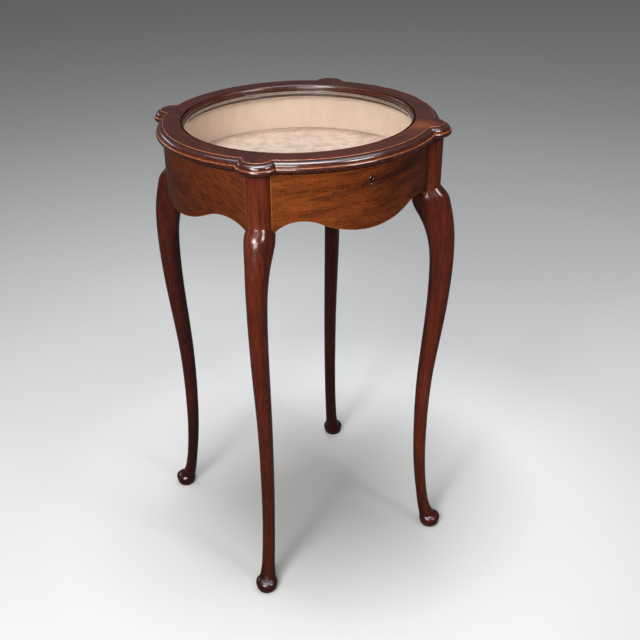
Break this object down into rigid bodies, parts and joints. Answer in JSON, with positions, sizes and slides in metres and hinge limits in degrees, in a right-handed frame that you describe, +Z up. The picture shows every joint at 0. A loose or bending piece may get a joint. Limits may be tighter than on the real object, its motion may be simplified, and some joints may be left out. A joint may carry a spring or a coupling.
{
  "type": "glazed display table",
  "caption": "Round display table with a hinged glazed lid, rounded ears on a moulded edge, a fabric-lined well, a curved shaped apron with a lock, and cabriole legs on pad feet.",
  "frame": {"origin": "on the floor, under the middle of the round top", "axes": "+Z up, -Y towards the keyhole, +Y towards the hinges, +X to the right of someone who faces the keyhole"},
  "size_m": [0.4192, 0.4192, 0.73],
  "materials": {
    "mahogany": "French polished",
    "carcase_wood": "bare, planed",
    "lining_fabric": "woven, matt",
    "glass": "clear, polished",
    "brass": "aged, satin",
    "steel": "dull"
  },
  "bodies": {
    "case": {"leg_front_left": "mahogany", "leg_front_right": "mahogany", "leg_back_left": "mahogany", "leg_back_right": "mahogany", "apron_front": "mahogany", "apron_right": "mahogany", "apron_back": "mahogany", "apron_left": "mahogany", "case_bottom": "carcase_wood", "bottom_glue_blocks": "carcase_wood", "wall_lining": "lining_fabric", "floor_lining": "lining_fabric", "lock_case": "steel", "lock_cap": "steel", "lock_drill_pin": "steel", "lock_spring": "steel", "lock_screws": "steel", "lock_selvedge": "brass", "keyhole_escutcheon": "brass", "hinge_left_case_leaf": "brass", "hinge_right_case_leaf": "brass", "hinge_left_pin": "brass", "hinge_right_pin": "brass", "hinge_case_screws": "brass"},
    "lid": {"lid_ring_front": "mahogany", "lid_ring_right": "mahogany", "lid_ring_back": "mahogany", "lid_ring_left": "mahogany", "lid_ring_splines": "mahogany", "lid_moulding_front": "mahogany", "lid_moulding_right": "mahogany", "lid_moulding_back": "mahogany", "lid_moulding_left": "mahogany", "lid_ear_front_left": "mahogany", "lid_ear_front_right": "mahogany", "lid_ear_back_right": "mahogany", "lid_ear_back_left": "mahogany", "glazing_bead": "mahogany", "glass_pane": "glass", "hinge_left_lid_leaf": "brass", "hinge_right_lid_leaf": "brass", "hinge_lid_screws": "brass", "lock_link_plate": "brass", "link_plate_screws": "brass"},
    "bolt": {"lock_bolt": "steel"}
  },
  "joints": [
    {"name": "lid_hinge", "type": "hinge", "parent": "case", "child": "lid", "pos_m": [0, 0.2028, 0.71085], "axis": [-1, 0, 0], "range_deg": [0, 97]},
    {"name": "bolt_slide", "type": "slide", "parent": "case", "child": "bolt", "axis": [1, 0, 0], "range_m": [0, 0.0055]}
  ]
}
